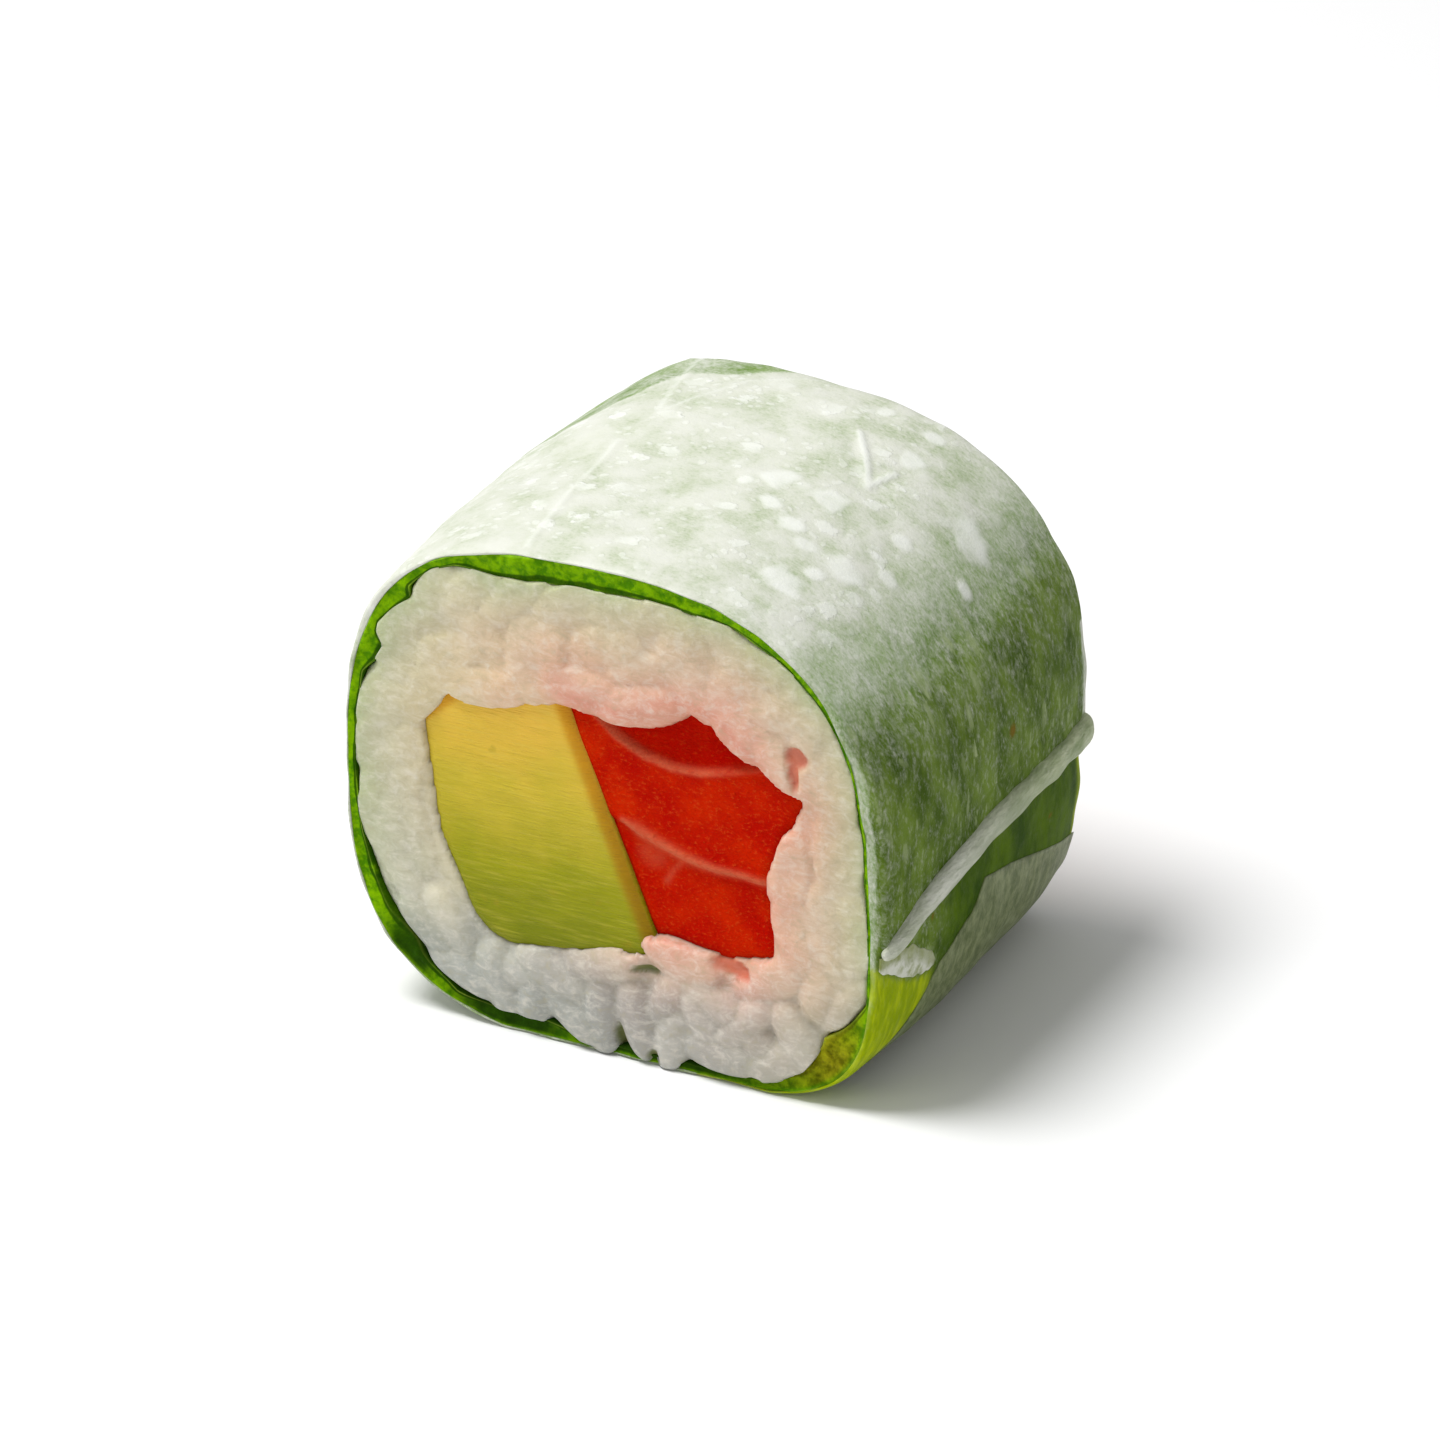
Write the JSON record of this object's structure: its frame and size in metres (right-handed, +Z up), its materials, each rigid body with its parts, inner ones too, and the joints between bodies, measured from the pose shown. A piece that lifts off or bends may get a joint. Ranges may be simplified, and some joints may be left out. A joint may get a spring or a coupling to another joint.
{
  "type": "cut sushi roll",
  "caption": "Cut piece of a rice-paper roll: lettuce round pressed rice with salmon and avocado, lying on its flattened side.",
  "frame": {"origin": "middle of the flat spot under the roll, on the floor", "axes": "+Z up; +Y along the roll's axis, away from the cut face that shows; +X to the right of that face"},
  "size_m": [0.0418, 0.0323, 0.0368],
  "materials": {
    "rice_paper": "moist, slightly glossy, half see-through",
    "lettuce": "satin leaf",
    "rice": "moist and pearly",
    "avocado": "soft satin",
    "salmon": "moist and glossy"
  },
  "bodies": {
    "root": {"rice_paper": "rice_paper", "lettuce": "lettuce", "rice": "rice", "avocado": "avocado", "salmon": "salmon"}
  },
  "joints": []
}
